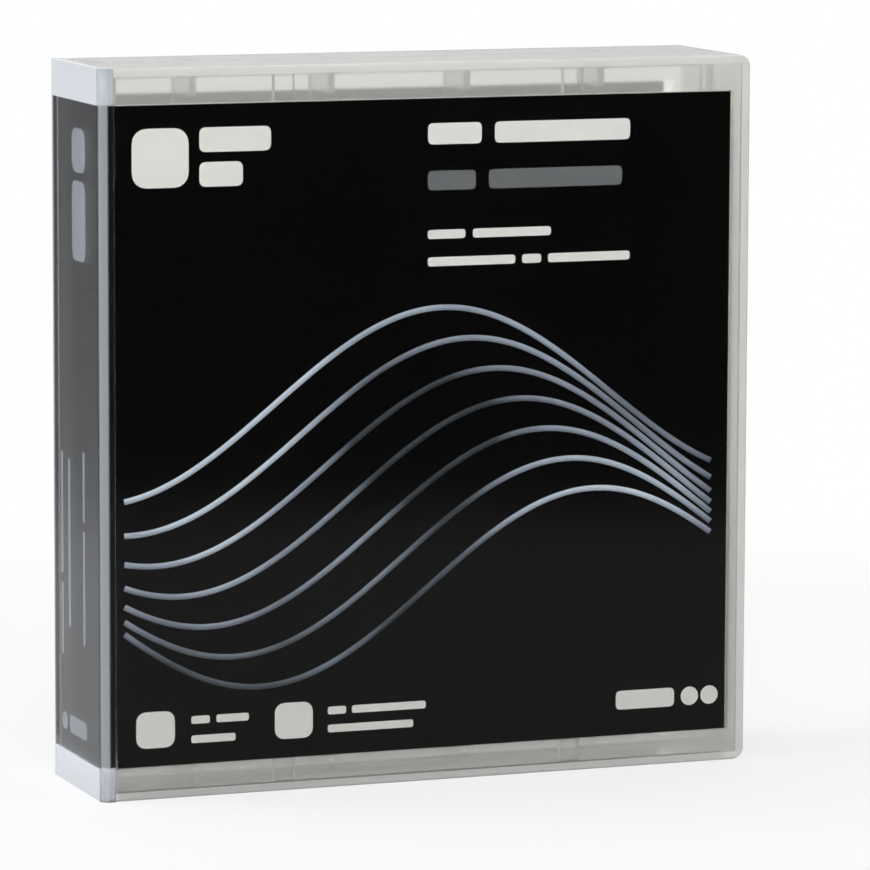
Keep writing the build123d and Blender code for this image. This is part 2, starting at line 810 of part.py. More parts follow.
# Tape pack: the wound tape, one solid ring on the hub.
with BuildPart() as tape_pack:
    with BuildSketch(reel_plane(cartridge_y + tape_width / 2, -1)):
        Circle(tape_radius)
        Circle(hub_radius, mode=Mode.SUBTRACT)
    extrude(amount=tape_width)
tape_pack.part.label = "tape_pack"
export_step(tape_pack.part, "parts/tape_pack.step")


# Drive washer: the steel ring inside the gear that the drive's magnet holds.
with BuildPart() as drive_washer:
    with BuildSketch(reel_plane(washer_seat_y + washer_thickness, -1)):
        Circle(gear_inner_radius - washer_clearance)
        Circle(washer_bore_radius, mode=Mode.SUBTRACT)
    extrude(amount=washer_thickness)
    chamfer(drive_washer.edges().group_by(Axis.Y)[-1], washer_clearance)
drive_washer.part.label = "drive_washer"
export_step(drive_washer.part, "parts/drive_washer.step")


# Brake button, drawn lifted clear of the reel's teeth, as a drive holds it while the reel turns.
with BuildPart() as brake_button:
    with BuildSketch(reel_plane(brake_web_back_y, -1)):
        Circle(brake_ring_outer)
    extrude(amount=brake_web)
    with BuildSketch(reel_plane(brake_crest_y, -1)):
        Circle(brake_ring_outer)
        Circle(brake_ring_inner, mode=Mode.SUBTRACT)
    extrude(amount=brake_crest_y - brake_web_back_y)
    with BuildSketch(reel_plane(pip_end_y, -1)):
        Circle(brake_pip_radius)
    extrude(amount=brake_pip_length)
    with BuildSketch(reel_plane(brake_web_front_y, -1)):
        Circle(stem_radius)
    extrude(amount=stem_length)
    with BuildSketch(reel_plane(brake_web_front_y, -1)):
        Rectangle(key_span + 2 * key_clearance, key_width + 2 * key_clearance)
        Rectangle(key_width + 2 * key_clearance, key_span + 2 * key_clearance)
    extrude(amount=stem_length, mode=Mode.SUBTRACT)
    with Locations(reel_plane(brake_crest_y, 1)):
        with PolarLocations(0, brake_teeth, 180 / brake_teeth):
            add(brake_gap, mode=Mode.SUBTRACT)
brake_button.part.label = "brake_button"
export_step(brake_button.part, "parts/brake_button.step")


# Brake spring: a coil between the upper shell and the brake button.
spring_foot_y = upper_floor_y + brake_spring_wire / 2 + spring_end_gap
spring_head_y = brake_web_front_y - brake_spring_wire / 2 - spring_end_gap
spring_height = spring_head_y - spring_foot_y
with BuildPart() as brake_spring:
    with BuildLine() as coil:
        Helix(
            pitch=spring_height / brake_spring_turns,
            height=spring_height,
            radius=brake_spring_radius,
            center=(0, spring_foot_y, reel_z),
            direction=(0, 1, 0),
        )
    with BuildSketch(Plane(origin=coil.line @ 0, z_dir=coil.line % 0)):
        RegularPolygon(brake_spring_wire / 2, wire_side_count)
    sweep()
brake_spring.part.label = "brake_spring"
export_step(brake_spring.part, "parts/brake_spring.step")


# Release plate: three legs that pass through the reel's floor, between the gear's teeth.
with BuildPart() as release_plate:
    with BuildSketch(reel_plane(plate_back_y, -1)):
        Circle(plate_middle_radius)
        with PolarLocations(leg_circle_radius, 3, 90):
            Circle(leg_pad_radius)
        make_hull()
    extrude(amount=plate_thickness)
    leg_end_y = gear_crest_y - gear_tooth_depth - brake_travel
    with BuildSketch(reel_plane(leg_end_y, -1)):
        with PolarLocations(leg_circle_radius, 3, 90):
            Circle(leg_radius)
    extrude(amount=leg_end_y - plate_back_y)
release_plate.part.label = "release_plate"
export_step(release_plate.part, "parts/release_plate.step")


# Access door: a sliding plate behind the window, with the drive's lug outside and a foot inside.
with BuildPart() as door:
    with BuildSketch(Plane.YZ.offset(door_inner_x)):
        with Locations((cartridge_y, (door_bottom_z + door_top_z) / 2)):
            RectangleRounded(
                window_width + 2 * door_overlap_side, door_top_z - door_bottom_z, edge_round
            )
    extrude(amount=door_thickness)
    with BuildSketch(Plane.YZ.offset(door_outer_x)):
        with Locations((cartridge_y, lug_z + lug_length / 2)):
            Rectangle(lug_width, lug_length)
    extrude(amount=lug_reach)
    with BuildSketch(Plane.YZ.offset(door_inner_x - door_foot_depth)):
        with Locations((cartridge_y, door_bottom_z + door_foot_height / 2)):
            Rectangle(door_foot_width, door_foot_height)
    extrude(amount=door_foot_depth)
door.part.label = "door"
export_step(door.part, "parts/door.step")


# Door spring: a tension coil between the cartridge's foot and the door's own foot.
door_coil_foot_z = cartridge_foot + shell_wall + door_spring_wire / 2 + spring_end_gap
door_coil_head_z = door_bottom_z - door_spring_wire / 2 - spring_end_gap
door_coil_height = door_coil_head_z - door_coil_foot_z
door_coil_x = door_inner_x - door_foot_depth / 2 - door_spring_wire
with BuildPart() as door_spring:
    with BuildLine() as door_coil:
        Helix(
            pitch=door_coil_height / door_spring_turns,
            height=door_coil_height,
            radius=door_spring_radius,
            center=(door_coil_x, cartridge_y, door_coil_foot_z),
        )
    with BuildSketch(Plane(origin=door_coil.line @ 0, z_dir=door_coil.line % 0)):
        RegularPolygon(door_spring_wire / 2, wire_side_count)
    sweep()
door_spring.part.label = "door_spring"
export_step(door_spring.part, "parts/door_spring.step")


# Leader pin: a turned steel pin with a disc at each end.
pin_axis = Axis((pin_x, 0, pin_z), (0, 1, 0))
with BuildPart() as leader_pin:
    with BuildSketch(Plane.XY.offset(pin_z)):
        with BuildLine():
            Polyline(
                (pin_x, cartridge_y - pin_half_length),
                (pin_x + pin_disc_radius, cartridge_y - pin_half_length),
                (pin_x + pin_disc_radius, cartridge_y - pin_half_length + pin_disc_thickness),
                (pin_x + pin_shoulder_radius, cartridge_y - pin_half_length + pin_disc_thickness),
                (pin_x + pin_shoulder_radius, cartridge_y - pin_half_neck),
                (pin_x + pin_radius, cartridge_y - pin_half_neck),
                (pin_x + pin_radius, cartridge_y + pin_half_neck),
                (pin_x + pin_shoulder_radius, cartridge_y + pin_half_neck),
                (pin_x + pin_shoulder_radius, cartridge_y + pin_half_length - pin_disc_thickness),
                (pin_x + pin_disc_radius, cartridge_y + pin_half_length - pin_disc_thickness),
                (pin_x + pin_disc_radius, cartridge_y + pin_half_length),
                (pin_x, cartridge_y + pin_half_length),
                close=True,
            )
        make_face()
    revolve(axis=pin_axis)
leader_pin.part.label = "leader_pin"
export_step(leader_pin.part, "parts/leader_pin.step")


# Leader tape: the straight run from the pack's edge to the pin, held by a snap-on clip.
run_radius = tape_radius + tape_pack_gap + tape_thickness / 2
pin_distance = hypot(pin_x, pin_z - reel_z)
tangent_angle = atan2(pin_z - reel_z, pin_x) - acos(run_radius / pin_distance)
run_start_x = run_radius * cos(tangent_angle)
run_start_z = reel_z + run_radius * sin(tangent_angle)
run_length = sqrt(pin_distance**2 - run_radius**2)
run_angle = degrees(atan2(pin_z - run_start_z, pin_x - run_start_x))
tape_end_gap = pin_radius + clip_gap
clip_length = tape_width - 2 * clip_margin
with BuildPart() as leader_tape:
    with BuildSketch(front_plane(cartridge_y + tape_width / 2)):
        with Locations(Location((pin_x, pin_z, 0), (0, 0, run_angle))):
            with Locations((-(run_length + tape_end_gap) / 2, 0)):
                Rectangle(run_length - tape_end_gap, tape_thickness)
    extrude(amount=tape_width)
leader_tape.part.label = "leader_tape"
export_step(leader_tape.part, "parts/leader_tape.step")

with BuildPart() as leader_clip:
    with BuildSketch(front_plane(cartridge_y + clip_length / 2)):
        with Locations(Location((pin_x, pin_z, 0), (0, 0, run_angle))):
            Circle(pin_radius + clip_gap + clip_wall)
            Circle(pin_radius + clip_gap, mode=Mode.SUBTRACT)
            with Locations((-pin_radius - clip_wall / 2, 0)):
                Rectangle(clip_wall * 3, clip_slot, mode=Mode.SUBTRACT)
    extrude(amount=clip_length)
leader_clip.part.label = "leader_clip"
export_step(leader_clip.part, "parts/leader_clip.step")


# Two leaf springs, one in each shell, that keep the leader pin's discs in their pockets.
leaf_y = (
    cartridge_y - pin_half_length + leaf_width,
    cartridge_y + pin_half_length,
)
with BuildPart() as pin_springs:
    for y in leaf_y:
        with BuildSketch(front_plane(y)):
            with BuildLine():
                Polyline(
                    (pin_x + leaf_anchor[0], pin_z + leaf_anchor[1]),
                    (pin_x + leaf_contact[0], pin_z + leaf_contact[1]),
                    (pin_x + leaf_tip[0], pin_z + leaf_tip[1]),
                )
            trace(line_width=leaf_thickness)
        extrude(amount=leaf_width)
pin_springs.part.label = "pin_springs"
export_step(pin_springs.part, "parts/pin_springs.step")


# Write-protect switch: a block in its channel, with a ribbed button in the slot.
switch_top_z = cartridge_top - shell_wall - switch_clearance
with BuildPart() as write_protect_switch:
    with BuildSketch(Plane.XY.offset(switch_top_z - switch_body_height)):
        with Locations((switch_x, switch_y)):
            Rectangle(switch_body_length, switch_body_width)
    extrude(amount=switch_body_height)
    with BuildSketch(Plane.XY.offset(switch_top_z)):
        with Locations((switch_x, switch_y)):
            Rectangle(switch_button_length, switch_button_width)
    extrude(amount=shell_wall)
    with BuildSketch(Plane.XY.offset(switch_top_z + shell_wall - grip_depth)):
        with Locations((switch_x, switch_y)):
            with GridLocations(grip_width, 1, 3, 1):
                Rectangle(grip_width / 2, switch_button_width)
    extrude(amount=grip_depth, mode=Mode.SUBTRACT)
write_protect_switch.part.label = "write_protect_switch"
export_step(write_protect_switch.part, "parts/write_protect_switch.step")


# Memory chip: a small board across the corner, and the label on the upper edge.
with BuildPart() as memory_chip:
    with BuildSketch(front_plane(lower_floor_y - chip_slot_gap)):
        with Locations(Location((chip_x, chip_z, 0), (0, 0, chip_turn))):
            Rectangle(chip_length, chip_thickness)
    extrude(amount=chip_height)
memory_chip.part.label = "memory_chip"
export_step(memory_chip.part, "parts/memory_chip.step")

with BuildPart() as edge_label:
    with BuildSketch(Plane.XY.offset(cartridge_top - label_recess)):
        label_field(0)
    extrude(amount=label_thickness)
edge_label.part.label = "edge_label"
export_step(edge_label.part, "parts/edge_label.step")
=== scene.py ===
import math

import bmesh
import bpy
from mathutils import Matrix, Vector


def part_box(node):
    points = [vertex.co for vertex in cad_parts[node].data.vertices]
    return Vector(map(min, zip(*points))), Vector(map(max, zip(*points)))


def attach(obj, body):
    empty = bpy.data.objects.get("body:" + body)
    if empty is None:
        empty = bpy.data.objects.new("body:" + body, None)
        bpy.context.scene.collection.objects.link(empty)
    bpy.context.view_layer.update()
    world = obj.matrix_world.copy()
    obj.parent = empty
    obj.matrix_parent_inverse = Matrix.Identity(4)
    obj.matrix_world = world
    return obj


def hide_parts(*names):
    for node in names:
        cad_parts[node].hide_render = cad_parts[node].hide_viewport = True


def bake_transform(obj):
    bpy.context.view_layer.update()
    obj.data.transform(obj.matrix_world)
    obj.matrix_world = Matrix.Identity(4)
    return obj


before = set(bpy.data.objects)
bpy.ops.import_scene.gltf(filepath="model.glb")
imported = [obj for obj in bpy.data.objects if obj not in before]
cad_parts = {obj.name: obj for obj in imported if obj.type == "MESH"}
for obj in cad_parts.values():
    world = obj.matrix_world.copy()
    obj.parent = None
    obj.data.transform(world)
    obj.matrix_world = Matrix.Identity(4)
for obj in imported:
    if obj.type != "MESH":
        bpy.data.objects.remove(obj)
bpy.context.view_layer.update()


# Storage case: cover and back, injection moulded from clear polypropylene with a faint frost.
# The etched mould leaves the frost, which softens what lies far behind a wall, not the card on it.
# Round the card's field it is a little cloudier; the outer walls' whiter cloud is a painted
# highlight.
MM = 0.001


def linear(code):
    """The linear colour of an sRGB hex value."""
    shares = [int(code[i:i + 2], 16) / 255 for i in (1, 3, 5)]
    return tuple(
        share / 12.92 if share <= 0.04045 else ((share + 0.055) / 1.055) ** 2.4
        for share in shares
    ) + (1.0,)


def add_node(tree, kind, inputs=None, **settings):
    """Adds a node with its settings. An input gets a value, or a link from a node's socket."""
    node = tree.nodes.new(kind)
    for name, value in settings.items():
        setattr(node, name, value)
    for name, value in (inputs or {}).items():
        if isinstance(value, bpy.types.NodeSocket):
            tree.links.new(value, node.inputs[name])
        else:
            node.inputs[name].default_value = value
    return node


def new_material(name):
    """An empty material and its node tree."""
    material = bpy.data.materials.new(name)
    material.use_nodes = True
    material.node_tree.nodes.clear()
    return material, material.node_tree


def paint(material, *nodes):
    """Puts a material on CAD nodes whose shape is right as it is."""
    for node in nodes:
        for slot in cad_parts[node].material_slots:
            slot.material = material


def frost(tree, place):
    """The etched mould's faint relief, as a normal."""
    grain = add_node(
        tree, "ShaderNodeTexNoise",
        {"Scale": 1 / (frost_grain_mm * MM), "Detail": 2.0, "Vector": place.outputs["Object"]},
    )
    relief = add_node(
        tree, "ShaderNodeBump",
        {"Strength": 0.07, "Distance": frost_depth_mm * MM, "Height": grain.outputs["Fac"]},
    )
    return relief.outputs["Normal"]


def within(tree, parts, right_mm, middle_mm, half_height_mm):
    """1 left of right_mm and within half_height_mm of middle_mm in height, and 0 elsewhere."""
    not_beside = add_node(
        tree, "ShaderNodeMath", {0: parts.outputs["X"], 1: right_mm * MM}, operation="LESS_THAN"
    )
    not_beyond = add_node(
        tree, "ShaderNodeMath",
        {0: parts.outputs["Z"], 1: middle_mm * MM, 2: half_height_mm * MM}, operation="COMPARE",
    )
    return add_node(
        tree, "ShaderNodeMath", {0: not_beside.outputs[0], 1: not_beyond.outputs[0]},
        operation="MULTIPLY",
    ).outputs[0]


# The card's field on the front, and the field inside the case's outer walls.
card_half_width_mm = 53.6
card_half_height_mm = 53.9
card_middle_mm = 59.2
inside_right_mm = 55.1
inside_middle_mm = 59.5
inside_half_height_mm = 58.1
margin_cloud = 0.22
# The outer walls' extra cloudiness whitens them as a painted highlight.
wall_highlight_cloud = 0.46
frost_grain_mm = 0.35
frost_depth_mm = 0.02
frosted_polypropylene, tree = new_material("frosted_polypropylene")
place = add_node(tree, "ShaderNodeTexCoord")
parts = add_node(tree, "ShaderNodeSeparateXYZ", {0: place.outputs["Object"]})
over_card = within(tree, parts, card_half_width_mm, card_middle_mm, card_half_height_mm)
inside = within(tree, parts, inside_right_mm, inside_middle_mm, inside_half_height_mm)
wall_clearness = add_node(
    tree, "ShaderNodeMath", {0: inside, 1: wall_highlight_cloud - margin_cloud, 2: 1 - wall_highlight_cloud},
    operation="MULTIPLY_ADD",
)
clearness = add_node(
    tree, "ShaderNodeMath", {0: over_card, 1: margin_cloud, 2: wall_clearness.outputs[0]},
    operation="MULTIPLY_ADD",
)
shader = add_node(
    tree, "ShaderNodeBsdfPrincipled",
    {
        "Base Color": linear("#fdfdfa"), "Roughness": 0.1, "IOR": 1.49,
        "Transmission Weight": clearness.outputs[0], "Normal": frost(tree, place),
    },
)
add_node(tree, "ShaderNodeOutputMaterial", {"Surface": shader.outputs[0]})
paint(frosted_polypropylene, "case_cover", "case_back")


# Spine: the same polypropylene, thinned along both long edges so that the case can fold there.
# Bending has whitened the two hinge lines, and both ends are solid and paler than the thin middle.
hinge_line_start_mm = 12.3
hinge_line_full_mm = 12.9
hinge_line_left_mm = -55.6
hinge_line_right_mm = -55.1
hinge_line_cloud = 0.34
bead_start_mm = 12.0
face_end_cloud = 0.78
bead_end_cloud = 0.25
whitened_polypropylene, tree = new_material("whitened_polypropylene")
place = add_node(tree, "ShaderNodeTexCoord")
parts = add_node(tree, "ShaderNodeSeparateXYZ", {0: place.outputs["Object"]})
from_middle = add_node(
    tree, "ShaderNodeMath", {0: parts.outputs["Y"]}, operation="ABSOLUTE"
)
hinge_line = add_node(
    tree, "ShaderNodeMapRange",
    {
        "Value": from_middle.outputs[0], "From Min": hinge_line_start_mm * MM,
        "From Max": hinge_line_full_mm * MM, "To Max": hinge_line_cloud,
    },
    interpolation_type="SMOOTHSTEP",
)
outer_side = add_node(
    tree, "ShaderNodeMapRange",
    {
        "Value": parts.outputs["X"], "From Min": hinge_line_left_mm * MM,
        "From Max": hinge_line_right_mm * MM, "To Min": 1.0, "To Max": 0.0,
    },
    interpolation_type="SMOOTHSTEP",
)
whitened = add_node(
    tree, "ShaderNodeMath", {0: hinge_line.outputs["Result"], 1: outer_side.outputs["Result"]},
    operation="MULTIPLY",
)
end_cloud = add_node(
    tree, "ShaderNodeMapRange",
    {
        "Value": from_middle.outputs[0], "From Min": bead_start_mm * MM,
        "From Max": hinge_line_start_mm * MM, "To Min": face_end_cloud, "To Max": bead_end_cloud,
    },
)
thin_middle = within(tree, parts, card_half_width_mm, card_middle_mm, card_half_height_mm)
solid_end = add_node(tree, "ShaderNodeMath", {0: 1.0, 1: thin_middle}, operation="SUBTRACT")
clouded = add_node(
    tree, "ShaderNodeMath", {0: solid_end.outputs[0], 1: end_cloud.outputs["Result"]},
    operation="MULTIPLY",
)
paler = add_node(
    tree, "ShaderNodeMath", {0: whitened.outputs[0], 1: clouded.outputs[0]}, operation="MAXIMUM"
)
clearness = add_node(
    tree, "ShaderNodeMath", {0: 1.0, 1: paler.outputs[0]}, operation="SUBTRACT"
)
shader = add_node(
    tree, "ShaderNodeBsdfPrincipled",
    {
        "Base Color": linear("#f0f4fa"), "Roughness": 0.22, "IOR": 1.49,
        "Transmission Weight": clearness.outputs[0], "Normal": frost(tree, place),
    },
)
add_node(tree, "ShaderNodeOutputMaterial", {"Surface": shader.outputs[0]})
paint(whitened_polypropylene, "case_spine")


# Folded card: 0.3 mm coated board, printed solid black on both faces and varnished.
# The varnish leaves a low even gloss over the fibres, and a pale line on the top and right edges
# is a painted highlight.
board_fibre_mm = 0.6
edge_highlight_mm = 0.16
varnished_black_card, tree = new_material("varnished_black_card")
place = add_node(tree, "ShaderNodeTexCoord")
fibres = add_node(
    tree, "ShaderNodeTexNoise",
    {"Scale": 1 / (board_fibre_mm * MM), "Detail": 4.0, "Vector": place.outputs["Object"]},
)
relief = add_node(
    tree, "ShaderNodeBump",
    {"Strength": 0.1, "Distance": 0.01 * MM, "Height": fibres.outputs["Fac"]},
)
ink = add_node(
    tree, "ShaderNodeMix",
    {0: fibres.outputs["Fac"], 6: linear("#060607"), 7: linear("#0a0a0c")}, data_type="RGBA",
)
parts = add_node(tree, "ShaderNodeSeparateXYZ", {0: place.outputs["Object"]})
# A thin pale band along the top and right edges only: a painted highlight where light catches
# them.
right_highlight = add_node(
    tree, "ShaderNodeMath", {0: parts.outputs["X"], 1: (card_half_width_mm - edge_highlight_mm) * MM},
    operation="GREATER_THAN",
)
top_highlight = add_node(
    tree, "ShaderNodeMath",
    {0: parts.outputs["Z"], 1: (card_middle_mm + card_half_height_mm - edge_highlight_mm) * MM},
    operation="GREATER_THAN",
)
edge_highlight = add_node(
    tree, "ShaderNodeMath", {0: right_highlight.outputs[0], 1: top_highlight.outputs[0]}, operation="MAXIMUM"
)
face = add_node(
    tree, "ShaderNodeMix", {0: edge_highlight.outputs[0], 6: ink.outputs[2], 7: linear("#b9bab6")},
    data_type="RGBA",
)
shader = add_node(
    tree, "ShaderNodeBsdfPrincipled",
    {
        "Roughness": 0.5, "IOR": 1.3,
        "Base Color": face.outputs[2], "Normal": relief.outputs["Normal"],
    },
)
add_node(tree, "ShaderNodeOutputMaterial", {"Surface": shader.outputs[0]})
paint(varnished_black_card, "card_front", "card_back")

# The card's middle stretch wraps round the case's bead at both hinge lines.
# So it is a flat panel on the spine and two folds, each a strip of its own round the bead.
card_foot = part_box("card_spine")[0][2]
card_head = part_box("card_spine")[1][2]
bead_x = -55.2 * MM
bead_y = 12.15 * MM
fold_inner = 1.6 * MM
fold_outer = 1.9 * MM
flat_left = -55.15 * MM
flat_right = -54.85 * MM
fold_steps = 12
fold_start_degrees = 6
fold_sweep_degrees = 82


def card_strip(name, outline):
    """A closed upright strip of the card's height over an outline of x and y."""
    shape = bmesh.new()
    low = [shape.verts.new((x, y, card_foot)) for x, y in outline]
    high = [shape.verts.new((x, y, card_head)) for x, y in outline]
    shape.faces.new(low)
    shape.faces.new(high)
    for here in range(len(outline)):
        beyond = (here + 1) % len(outline)
        shape.faces.new((low[here], low[beyond], high[beyond], high[here]))
    bmesh.ops.recalc_face_normals(shape, faces=shape.faces)
    mesh = bpy.data.meshes.new(name)
    shape.to_mesh(mesh)
    shape.free()
    mesh.materials.append(varnished_black_card)
    strip = bpy.data.objects.new(name, mesh)
    bpy.context.scene.collection.objects.link(strip)
    return strip


flat_reach = bead_y - fold_inner
panel = card_strip("card_spine_panel", (
    (flat_left, -flat_reach), (flat_right, -flat_reach),
    (flat_right, flat_reach), (flat_left, flat_reach),
))
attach(panel, "spine")
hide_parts("card_spine")

fold_turns = [
    math.radians(fold_start_degrees + fold_sweep_degrees * step / fold_steps)
    for step in range(fold_steps + 1)
]
for name, side, before, after in (
    ("card_front_fold", -1, "spine", "cover"), ("card_back_fold", 1, "spine", "case_back"),
):
    outline = [
        (bead_x + radius * math.cos(turn), side * (bead_y - radius * math.sin(turn)))
        for radius, row in ((fold_inner, fold_turns), (fold_outer, fold_turns[::-1]))
        for turn in row
    ]
    fold = card_strip(name, outline)
    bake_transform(fold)


# Print on the card's front: a bundle of flowing lines in pale blue and grey inks.
# Their colour swells and fades along their length, as a printed blend does.
ink_thickness = 0.012 * MM
ink_clearance = 0.003 * MM
ink_front_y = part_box("card_front")[0][1] - ink_clearance
line_width = 0.95 * MM
line_count = 7
line_steps = 120
blend_length_mm = 42.0
pale_line_ink, tree = new_material("pale_line_ink")
place = add_node(tree, "ShaderNodeTexCoord")
swell = add_node(
    tree, "ShaderNodeTexNoise",
    {"Scale": 1 / (blend_length_mm * MM), "Detail": 1.0, "Vector": place.outputs["Object"]},
)
blend = add_node(tree, "ShaderNodeValToRGB", {0: swell.outputs["Fac"]})
stops = blend.color_ramp.elements
stops[0].position, stops[0].color = 0.36, linear("#4a5059")
stops[1].position, stops[1].color = 0.6, linear("#dfecff")
stops.new(0.48).color = linear("#a4aec2")
shader = add_node(
    tree, "ShaderNodeBsdfPrincipled",
    {"Roughness": 0.5, "IOR": 1.3, "Base Color": blend.outputs[0]},
)
add_node(tree, "ShaderNodeOutputMaterial", {"Surface": shader.outputs[0]})

# The bundle's lines are sine waves of one size, each shifted along and lifted by a fixed step.
group = bpy.data.node_groups.new("flowing_lines", "GeometryNodeTree")
group.interface.new_socket("Geometry", in_out="OUTPUT", socket_type="NodeSocketGeometry")
line_inputs = {
    "Left": -52.5 * MM, "Right": 50.5 * MM, "Middle": 48.0 * MM, "Rise": 15.0 * MM,
    "Wavelength": 118.0 * MM, "Shift": 0.24, "Spread": 5.2 * MM,
    "Width": line_width, "Thickness": ink_thickness, "Depth": ink_front_y - ink_thickness / 2,
}
for name in line_inputs:
    group.interface.new_socket(name, in_out="INPUT", socket_type="NodeSocketFloat")
group.interface.new_socket("Lines", in_out="INPUT", socket_type="NodeSocketInt")
given = add_node(group, "NodeGroupInput").outputs
left_end = add_node(group, "ShaderNodeCombineXYZ", {"X": given["Left"]})
right_end = add_node(group, "ShaderNodeCombineXYZ", {"X": given["Right"]})
run = add_node(
    group, "GeometryNodeCurvePrimitiveLine",
    {"Start": left_end.outputs[0], "End": right_end.outputs[0]},
)
fine_run = add_node(
    group, "GeometryNodeResampleCurve", {"Count": line_steps, "Curve": run.outputs[0]}
)
bundle = add_node(
    group, "GeometryNodeDuplicateElements",
    {"Geometry": fine_run.outputs[0], "Amount": given["Lines"]}, domain="SPLINE",
)
position = add_node(group, "GeometryNodeInputPosition")
parts = add_node(group, "ShaderNodeSeparateXYZ", {0: position.outputs[0]})
number = bundle.outputs["Duplicate Index"]
full_turn = add_node(
    group, "ShaderNodeMath", {0: parts.outputs["X"], 1: math.tau}, operation="MULTIPLY"
)
turn = add_node(
    group, "ShaderNodeMath", {0: full_turn.outputs[0], 1: given["Wavelength"]}, operation="DIVIDE"
)
phase = add_node(
    group, "ShaderNodeMath", {0: number, 1: given["Shift"], 2: turn.outputs[0]},
    operation="MULTIPLY_ADD",
)
sine = add_node(group, "ShaderNodeMath", {0: phase.outputs[0]}, operation="SINE")
# The rows are counted from the middle of the bundle, so the lowest is half their number down.
lowest_row = add_node(
    group, "ShaderNodeMath", {0: given["Lines"], 1: -0.5, 2: 0.5}, operation="MULTIPLY_ADD"
)
row = add_node(group, "ShaderNodeMath", {0: number, 1: lowest_row.outputs[0]}, operation="ADD")
level = add_node(
    group, "ShaderNodeMath", {0: row.outputs[0], 1: given["Spread"], 2: given["Middle"]},
    operation="MULTIPLY_ADD",
)
height = add_node(
    group, "ShaderNodeMath", {0: sine.outputs[0], 1: given["Rise"], 2: level.outputs[0]},
    operation="MULTIPLY_ADD",
)
lift = add_node(
    group, "ShaderNodeCombineXYZ", {"Y": given["Depth"], "Z": height.outputs[0]}
)
waves = add_node(
    group, "GeometryNodeSetPosition",
    {"Geometry": bundle.outputs[0], "Offset": lift.outputs[0]},
)
upright = add_node(
    group, "GeometryNodeSetCurveNormal", {0: waves.outputs[0]}, mode="Z_UP"
)
profile = add_node(
    group, "GeometryNodeCurvePrimitiveQuadrilateral",
    {"Width": given["Thickness"], "Height": given["Width"]},
)
ribbons = add_node(
    group, "GeometryNodeCurveToMesh",
    {"Fill Caps": True, "Curve": upright.outputs[0], "Profile Curve": profile.outputs[0]},
)
real = add_node(group, "GeometryNodeRealizeInstances", {0: ribbons.outputs[0]})
inked = add_node(
    group, "GeometryNodeSetMaterial",
    {"Geometry": real.outputs[0], "Material": pale_line_ink},
)
add_node(group, "NodeGroupOutput", {0: inked.outputs[0]})

carrier = bpy.data.objects.new(
    "flowing_lines_carrier", bpy.data.meshes.new("flowing_lines_carrier")
)
bpy.context.scene.collection.objects.link(carrier)
modifier = carrier.modifiers.new("flowing_lines", "NODES")
modifier.node_group = group
for item in group.interface.items_tree:
    if item.in_out == "INPUT":
        modifier[item.identifier] = line_inputs.get(item.name, line_count)
seen = carrier.evaluated_get(bpy.context.evaluated_depsgraph_get())
line_mesh = bpy.data.meshes.new_from_object(seen)
line_mesh.name = "flowing_lines"
bpy.data.objects.remove(carrier)
flowing_lines = bpy.data.objects.new("flowing_lines", line_mesh)
bpy.context.scene.collection.objects.link(flowing_lines)
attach(flowing_lines, "cover")


# Plain bars and rounded shapes, printed on the card's front and spine in flat white and grey ink.
# Flat ink soaks into the board a little unevenly, which mottles it.
bar_mottle_mm = 0.8
bar_shade = 0.93
corner_steps = 4


def print_bars(name, rows, place_of, code, body):
    """A thin closed plate for each row of left, foot, width, height and corner, in millimetres."""
    material, tree = new_material(name + "_ink")
    place = add_node(tree, "ShaderNodeTexCoord")
    mottle = add_node(
        tree, "ShaderNodeTexNoise",
        {"Scale": 1 / (bar_mottle_mm * MM), "Detail": 3.0, "Vector": place.outputs["Object"]},
    )
    shade = tuple(part * bar_shade for part in linear(code)[:3]) + (1.0,)
    tone = add_node(
        tree, "ShaderNodeMix", {0: mottle.outputs["Fac"], 6: shade, 7: linear(code)},
        data_type="RGBA",
    )
    shader = add_node(
        tree, "ShaderNodeBsdfPrincipled",
        {"Roughness": 0.55, "IOR": 1.3, "Base Color": tone.outputs[2]},
    )
    add_node(tree, "ShaderNodeOutputMaterial", {"Surface": shader.outputs[0]})
    shape = bmesh.new()
    for left, foot, width, height, corner in rows:
        near, far = left + corner, left + width - corner
        low, high = foot + corner, foot + height - corner
        outline = []
        for quarter, (cx, cz) in enumerate(((far, low), (far, high), (near, high), (near, low))):
            for step in range(corner_steps + 1):
                angle = math.radians(90 * (quarter - 1 + step / corner_steps))
                outline.append((cx + corner * math.cos(angle), cz + corner * math.sin(angle)))
        front = [shape.verts.new(place_of(u * MM, z * MM, 0.0)) for u, z in outline]
        back = [shape.verts.new(place_of(u * MM, z * MM, ink_thickness)) for u, z in outline]
        shape.faces.new(front)
        shape.faces.new(back)
        for here in range(len(outline)):
            beyond = (here + 1) % len(outline)
            shape.faces.new((front[here], front[beyond], back[beyond], back[here]))
    bmesh.ops.recalc_face_normals(shape, faces=shape.faces)
    mesh = bpy.data.meshes.new(name)
    shape.to_mesh(mesh)
    shape.free()
    mesh.materials.append(material)
    bars = bpy.data.objects.new(name, mesh)
    bpy.context.scene.collection.objects.link(bars)
    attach(bars, body)


def on_front(u, z, depth):
    """A point on the card's front face, at u to the right."""
    return (u, ink_front_y - ink_thickness + depth, z)


def on_spine(u, z, depth):
    """A point on the card's spine face, at u to the back."""
    return (flat_left - ink_clearance - ink_thickness + depth, u, z)


